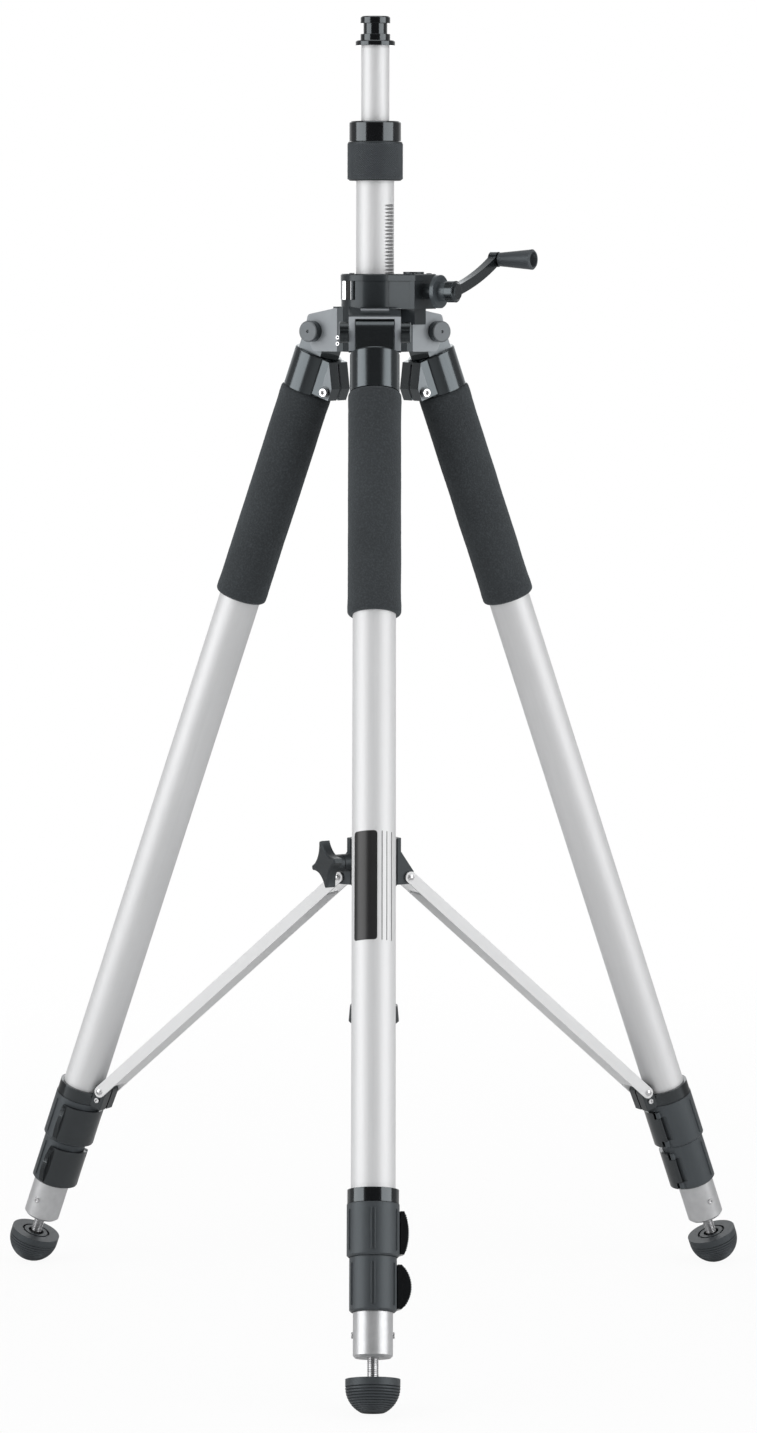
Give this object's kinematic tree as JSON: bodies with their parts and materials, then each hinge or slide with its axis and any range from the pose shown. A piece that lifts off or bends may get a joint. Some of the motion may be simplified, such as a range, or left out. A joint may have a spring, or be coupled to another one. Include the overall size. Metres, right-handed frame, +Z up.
{
  "type": "laser level stand",
  "caption": "Folding tripod with telescopic flip-lock legs, channel braces and a cranked rack column that carries a laser level on a small head plate.",
  "frame": {"origin": "on the floor, at the middle of the outline of the three spread feet", "axes": "+Z up along the column, -Y towards the front leg, crank towards +X -Y"},
  "size_m": [0.5528, 0.4836, 0.9285],
  "materials": {
    "satin_aluminium": "satin anodised",
    "black_casting": "black enamelled die casting",
    "dark_plastic": "moulded dark grey",
    "gloss_black": "gloss black",
    "chrome": "plated",
    "steel": "turned",
    "foam": "closed-cell foam",
    "rubber": "moulded rubber"
  },
  "bodies": {
    "hub": {"hub_casting": "black_casting", "hub_cover": "black_casting", "bubble_level": "chrome", "leg_hinge_bolts": "black_casting", "guide_tube": "gloss_black", "guide_end_ring": "dark_plastic"},
    "column": {"column_tube": "satin_aluminium", "mast_clamp_ring": "gloss_black"},
    "mast": {"mast_tube": "satin_aluminium", "head_plate": "gloss_black"},
    "cap": {"thread_cap": "gloss_black"},
    "mast_nut": {"mast_clamp_nut": "dark_plastic"},
    "crank": {"crank_shaft": "steel", "crank_arm": "dark_plastic"},
    "pinion": {"pinion_shaft": "steel"},
    "crank_handle": {"crank_grip": "dark_plastic"},
    "slider": {"brace_slider": "dark_plastic"},
    "knob": {"slider_knob": "dark_plastic"},
    "front_leg": {"front_leg_head": "dark_plastic", "front_upper_tube": "satin_aluminium", "front_foam_grip": "foam", "front_brace_collar": "dark_plastic", "front_upper_clamp": "dark_plastic"},
    "front_middle": {"front_middle_tube": "satin_aluminium", "front_lower_clamp": "dark_plastic"},
    "front_lower": {"front_lower_tube": "satin_aluminium", "front_foot_ferrule": "satin_aluminium", "front_foot_spindle": "steel"},
    "front_foot": {"front_rubber_foot": "rubber"},
    "front_stay": {"front_brace": "satin_aluminium"},
    "front_upper_flip": {"front_upper_lever": "dark_plastic"},
    "front_lower_flip": {"front_lower_lever": "dark_plastic"},
    "right_leg": {"right_leg_head": "dark_plastic", "right_upper_tube": "satin_aluminium", "right_foam_grip": "foam", "right_brace_collar": "dark_plastic", "right_upper_clamp": "dark_plastic"},
    "right_middle": {"right_middle_tube": "satin_aluminium", "right_lower_clamp": "dark_plastic"},
    "right_lower": {"right_lower_tube": "satin_aluminium", "right_foot_ferrule": "satin_aluminium", "right_foot_spindle": "steel"},
    "right_foot": {"right_rubber_foot": "rubber"},
    "right_stay": {"right_brace": "satin_aluminium"},
    "right_upper_flip": {"right_upper_lever": "dark_plastic"},
    "right_lower_flip": {"right_lower_lever": "dark_plastic"},
    "left_leg": {"left_leg_head": "dark_plastic", "left_upper_tube": "satin_aluminium", "left_foam_grip": "foam", "left_brace_collar": "dark_plastic", "left_upper_clamp": "dark_plastic"},
    "left_middle": {"left_middle_tube": "satin_aluminium", "left_lower_clamp": "dark_plastic"},
    "left_lower": {"left_lower_tube": "satin_aluminium", "left_foot_ferrule": "satin_aluminium", "left_foot_spindle": "steel"},
    "left_foot": {"left_rubber_foot": "rubber"},
    "left_stay": {"left_brace": "satin_aluminium"},
    "left_upper_flip": {"left_upper_lever": "dark_plastic"},
    "left_lower_flip": {"left_lower_lever": "dark_plastic"}
  },
  "joints": [
    {"name": "column_lift", "type": "slide", "parent": "hub", "child": "column", "axis": [0, 0, 1], "range_m": [-0.05, 0.3]},
    {"name": "mast_slide", "type": "slide", "parent": "column", "child": "mast", "axis": [0, 0, 1], "range_m": [-0.05, 0.42]},
    {"name": "cap_lift", "type": "slide", "parent": "mast", "child": "cap", "axis": [0, 0, 1], "range_m": [0, 0.03]},
    {"name": "mast_nut_turn", "type": "hinge", "parent": "column", "child": "mast_nut", "pos_m": [0, 0.07452, 0.82712], "axis": [0, 0, 1], "range_deg": [0, 120]},
    {"name": "crank_turn", "type": "hinge", "parent": "hub", "child": "crank", "pos_m": [0.03551, 0.05402, 0.73562], "axis": [0.866, -0.5, 0], "range_deg": [-2500, 600]},
    {"name": "pinion_turn", "type": "hinge", "parent": "hub", "child": "pinion", "pos_m": [0.01511, 0.06579, 0.73562], "axis": [0.5, 0.866, 0], "range_deg": [-800, 3700]},
    {"name": "crank_handle_spin", "type": "hinge", "parent": "crank", "child": "crank_handle", "pos_m": [0.09182, 0.09356, 0.75813], "axis": [0.866, -0.5, 0], "continuous": true},
    {"name": "slider_travel", "type": "slide", "parent": "hub", "child": "slider", "axis": [0, 0, 1], "range_m": [0, 0.0605]},
    {"name": "knob_turn", "type": "hinge", "parent": "slider", "child": "knob", "pos_m": [-0.02598, 0.05952, 0.32782], "axis": [-0.866, -0.5, 0], "range_deg": [0, 360]},
    {"name": "front_fold", "type": "hinge", "parent": "hub", "child": "front_leg", "pos_m": [0, 0.03402, 0.70713], "axis": [1, 0, 0], "range_deg": [0, 15]},
    {"name": "front_middle_slide", "type": "slide", "parent": "front_leg", "child": "front_middle", "axis": [0, -0.3502, -0.9367], "range_m": [0, 0.45]},
    {"name": "front_lower_slide", "type": "slide", "parent": "front_middle", "child": "front_lower", "axis": [0, -0.3502, -0.9367], "range_m": [0, 0.45]},
    {"name": "front_foot_turn", "type": "hinge", "parent": "front_lower", "child": "front_foot", "pos_m": [0, -0.22338, 0.01867], "axis": [0, 0.3502, 0.9367], "continuous": true},
    {"name": "front_stay_swing", "type": "hinge", "parent": "front_leg", "child": "front_stay", "pos_m": [0, -0.1569, 0.13794], "axis": [1, 0, 0], "range_deg": [0, 24.09]},
    {"name": "front_upper_flip_open", "type": "hinge", "parent": "front_leg", "child": "front_upper_flip", "pos_m": [-0.00763, -0.17106, 0.10971], "axis": [0, 0.3502, 0.9367], "range_deg": [0, 100]},
    {"name": "front_lower_flip_open", "type": "hinge", "parent": "front_middle", "child": "front_lower_flip", "pos_m": [-0.00689, -0.18507, 0.07694], "axis": [0, 0.3502, 0.9367], "range_deg": [0, 100]},
    {"name": "right_fold", "type": "hinge", "parent": "hub", "child": "right_leg", "pos_m": [0.03507, 0.09477, 0.70713], "axis": [-0.5, 0.866, 0], "range_deg": [0, 15]},
    {"name": "right_middle_slide", "type": "slide", "parent": "right_leg", "child": "right_middle", "axis": [0.3033, 0.1751, -0.9367], "range_m": [0, 0.45]},
    {"name": "right_lower_slide", "type": "slide", "parent": "right_middle", "child": "right_lower", "axis": [0.3033, 0.1751, -0.9367], "range_m": [0, 0.45]},
    {"name": "right_foot_turn", "type": "hinge", "parent": "right_lower", "child": "right_foot", "pos_m": [0.25799, 0.22347, 0.01867], "axis": [-0.3033, -0.1751, 0.9367], "continuous": true},
    {"name": "right_stay_swing", "type": "hinge", "parent": "right_leg", "child": "right_stay", "pos_m": [0.20042, 0.19023, 0.13794], "axis": [-0.5, 0.866, 0], "range_deg": [0, 24.09]},
    {"name": "right_upper_flip_open", "type": "hinge", "parent": "right_leg", "child": "right_upper_flip", "pos_m": [0.21649, 0.1907, 0.10971], "axis": [-0.3033, -0.1751, 0.9367], "range_deg": [0, 100]},
    {"name": "right_lower_flip_open", "type": "hinge", "parent": "right_middle", "child": "right_lower_flip", "pos_m": [0.22825, 0.19834, 0.07694], "axis": [-0.3033, -0.1751, 0.9367], "range_deg": [0, 100]},
    {"name": "left_fold", "type": "hinge", "parent": "hub", "child": "left_leg", "pos_m": [-0.03507, 0.09477, 0.70713], "axis": [-0.5, -0.866, 0], "range_deg": [0, 15]},
    {"name": "left_middle_slide", "type": "slide", "parent": "left_leg", "child": "left_middle", "axis": [-0.3033, 0.1751, -0.9367], "range_m": [0, 0.45]},
    {"name": "left_lower_slide", "type": "slide", "parent": "left_middle", "child": "left_lower", "axis": [-0.3033, 0.1751, -0.9367], "range_m": [0, 0.45]},
    {"name": "left_foot_turn", "type": "hinge", "parent": "left_lower", "child": "left_foot", "pos_m": [-0.25799, 0.22347, 0.01867], "axis": [0.3033, -0.1751, 0.9367], "continuous": true},
    {"name": "left_stay_swing", "type": "hinge", "parent": "left_leg", "child": "left_stay", "pos_m": [-0.20042, 0.19023, 0.13794], "axis": [-0.5, -0.866, 0], "range_deg": [0, 24.09]},
    {"name": "left_upper_flip_open", "type": "hinge", "parent": "left_leg", "child": "left_upper_flip", "pos_m": [-0.20886, 0.20391, 0.10971], "axis": [0.3033, -0.1751, 0.9367], "range_deg": [0, 100]},
    {"name": "left_lower_flip_open", "type": "hinge", "parent": "left_middle", "child": "left_lower_flip", "pos_m": [-0.22136, 0.21028, 0.07694], "axis": [0.3033, -0.1751, 0.9367], "range_deg": [0, 100]}
  ],
  "couplings": [
    {"joint": "pinion_turn", "follows": "column_lift", "rad_per_m": 208.33},
    {"joint": "crank_turn", "follows": "column_lift", "rad_per_m": -138.89},
    {"joint": "slider_travel", "follows": "front_fold", "m_per_rad": 0.22804},
    {"joint": "front_stay_swing", "follows": "front_fold", "ratio": 1.5728},
    {"joint": "right_fold", "follows": "front_fold", "ratio": 1},
    {"joint": "right_stay_swing", "follows": "front_fold", "ratio": 1.5728},
    {"joint": "left_fold", "follows": "front_fold", "ratio": 1},
    {"joint": "left_stay_swing", "follows": "front_fold", "ratio": 1.5728}
  ]
}
